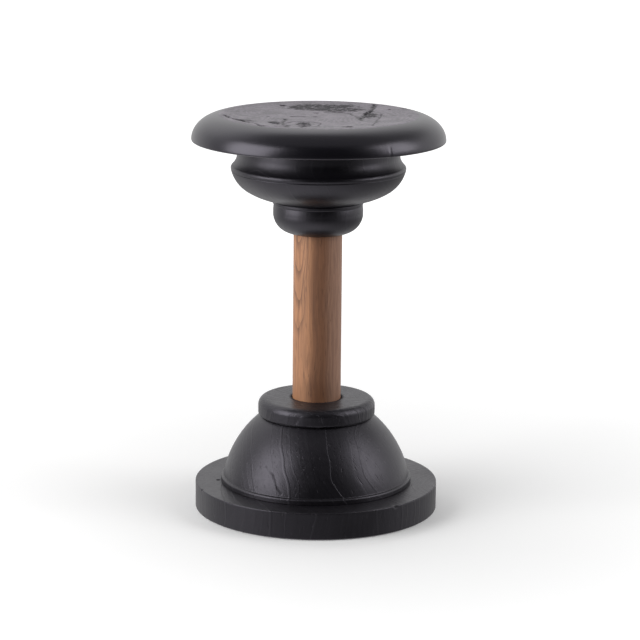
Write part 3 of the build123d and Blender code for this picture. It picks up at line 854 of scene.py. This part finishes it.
def raw_beech():
    """Raw beech: pale pinkish tan with short darker ray flecks, dry and matt."""
    material, tree, shader, place = new_material("raw_beech")
    long = stretched(tree, place, (1, 1, 0.12))
    flecks = noise(tree, long, 0.7 * MM, 3.0)
    colour = mixed(tree, flecks, "#d9b58c", "#b98c62")
    tree.links.new(colour, shader.inputs["Base Color"])
    shader.inputs["Roughness"].default_value = 0.7
    return material


dressed(("collar_dowels", "neck_dowels", "plate_dowels"), raw_beech())

# ---------------------------------------------------------------- floor
# A plain white sweep under the candlestick. It takes the shadow but throws no light back: the
# light from below comes from the studio, which is uneven there.
floor_mesh = bpy.data.meshes.new("floor")
floor_mesh.from_pydata([(-6, -6, 0), (6, -6, 0), (6, 6, 0), (-6, 6, 0)], [], [(0, 1, 2, 3)])
floor = bpy.data.objects.new("floor", floor_mesh)
bpy.context.collection.objects.link(floor)
floor_paint, floor_tree, paint, floor_place = new_material("white_floor")
paint.inputs["Base Color"].default_value = (0.9, 0.9, 0.9, 1)
paint.inputs["Roughness"].default_value = 1.0
paint.inputs["Specular IOR Level"].default_value = 0.0
# The floor also glows, weakly near the foot and up to 0.75 at 0.9 m out: painted light that keeps
# the floor white away from the candlestick while its shadow stays near the foot.
spread = add_node(floor_tree, "ShaderNodeVectorMath", {0: floor_place}, operation="LENGTH")
glow = ranged(floor_tree, spread.outputs["Value"], 0.10, 0.9, 0.10, 0.75)
floor_tree.links.new(glow, paint.inputs["Emission Strength"])
paint.inputs["Emission Color"].default_value = (1, 1, 1, 1)
floor_mesh.materials.append(floor_paint)
floor.visible_diffuse = False
floor.visible_glossy = False

# ---------------------------------------------------------------- lamps
# Two tall soft boxes stand to the left and right of the front, the left one brighter. The
# studio is white behind the object and dark behind the camera, and the bright table near the
# foot gives way to darker floor further out.


stem_middle = 0.15


def soft_box(name, azimuth, distance, height, wide, tall, radiance):
    """An upright area lamp at an azimuth in degrees from the front, aimed at the stem.

    A flat lamp of power P and area A has the radiance P / (pi A).
    """
    lamp = bpy.data.lights.new(name, "AREA")
    lamp.shape = "RECTANGLE"
    lamp.size, lamp.size_y = wide, tall
    lamp.energy = radiance * math.pi * wide * tall
    holder = bpy.data.objects.new(name, lamp)
    turn = math.radians(azimuth)
    spot = np.array([math.sin(turn) * distance, -math.cos(turn) * distance, height])
    aim = np.array([0, 0, stem_middle]) - spot
    side = math.atan2(aim[1], aim[0]) - math.pi / 2
    tilt = math.atan2(aim[2], math.hypot(aim[0], aim[1]))
    holder.matrix_world = (Matrix.Translation(spot) @ Matrix.Rotation(side, 4, "Z")
                           @ Matrix.Rotation(math.pi / 2 + tilt, 4, "X"))
    bpy.context.collection.objects.link(holder)


soft_box("left_soft_box", -65, 1.3, 0.60, 1.05, 1.3, 4.4)
soft_box("right_soft_box", 78, 1.3, 0.82, 0.80, 1.0, 3.2)

world = bpy.data.worlds.new("studio")
bpy.context.scene.world = world
world.use_nodes = True
sky = world.node_tree
towards = add_node(sky, "ShaderNodeTexCoord").outputs["Generated"]
way = add_node(sky, "ShaderNodeSeparateXYZ", {0: towards})
slant = reckon(sky, "MULTIPLY_ADD", way.outputs["X"], 0.3, way.outputs["Y"])
behind = ranged(sky, slant, -0.60, 0.45, smooth=True)
leftward = ranged(sky, way.outputs["X"], 0.0, -0.7)
lit_side = ranged(sky, way.outputs["X"], 0.8, -0.1, 0.42, 1.1)
high = ranged(sky, way.outputs["Z"], 0.40, 0.62)
top_light = ranged(sky, way.outputs["X"], 0.0, 0.5, 1.4, 0.35)
top_light = between(sky, high, 0.95, top_light)
walls = reckon(sky, "MULTIPLY", behind, top_light)
ceiling = ranged(sky, way.outputs["Z"], 0.80, 0.88)
upper = between(sky, ceiling, walls, 0.3)
far_floor = reckon(sky, "MULTIPLY_ADD", leftward, 0.38, 0.17)
far_floor = reckon(sky, "MULTIPLY_ADD", behind, 0.20, far_floor)
near = ranged(sky, way.outputs["Z"], -0.42, -0.58)
ground = between(sky, near, far_floor, lit_side)
over_floor = ranged(sky, way.outputs["Z"], -0.26, -0.14)
studio_light = between(sky, over_floor, ground, upper)
seen = add_node(sky, "ShaderNodeLightPath").outputs["Is Camera Ray"]
strength = between(sky, seen, studio_light, 1.0)
backdrop = sky.nodes["Background"]
backdrop.inputs["Color"].default_value = (1, 1, 1, 1)
sky.links.new(strength, backdrop.inputs["Strength"])

# ---------------------------------------------------------------- camera
# A long lens a little above the plate, looking down at the stem from about 1.8 m away. Its
# turn, tilt and roll are in degrees.
camera_place = (0, -1.757, 0.5378)
camera_turn, camera_tilt, camera_roll = -0.065, 12.848, 0.50
camera_data = bpy.data.cameras.new("camera")
camera_data.sensor_width = 36.0
camera_data.lens = 142.0
camera_data.clip_end = 50.0
camera = bpy.data.objects.new("camera", camera_data)
camera.matrix_world = (Matrix.Translation(camera_place)
                       @ Matrix.Rotation(math.radians(camera_turn), 4, "Z")
                       @ Matrix.Rotation(math.radians(90 - camera_tilt), 4, "X")
                       @ Matrix.Rotation(math.radians(camera_roll), 4, "Z"))
bpy.context.collection.objects.link(camera)
bpy.context.scene.camera = camera
bpy.context.scene.view_settings.view_transform = "Standard"
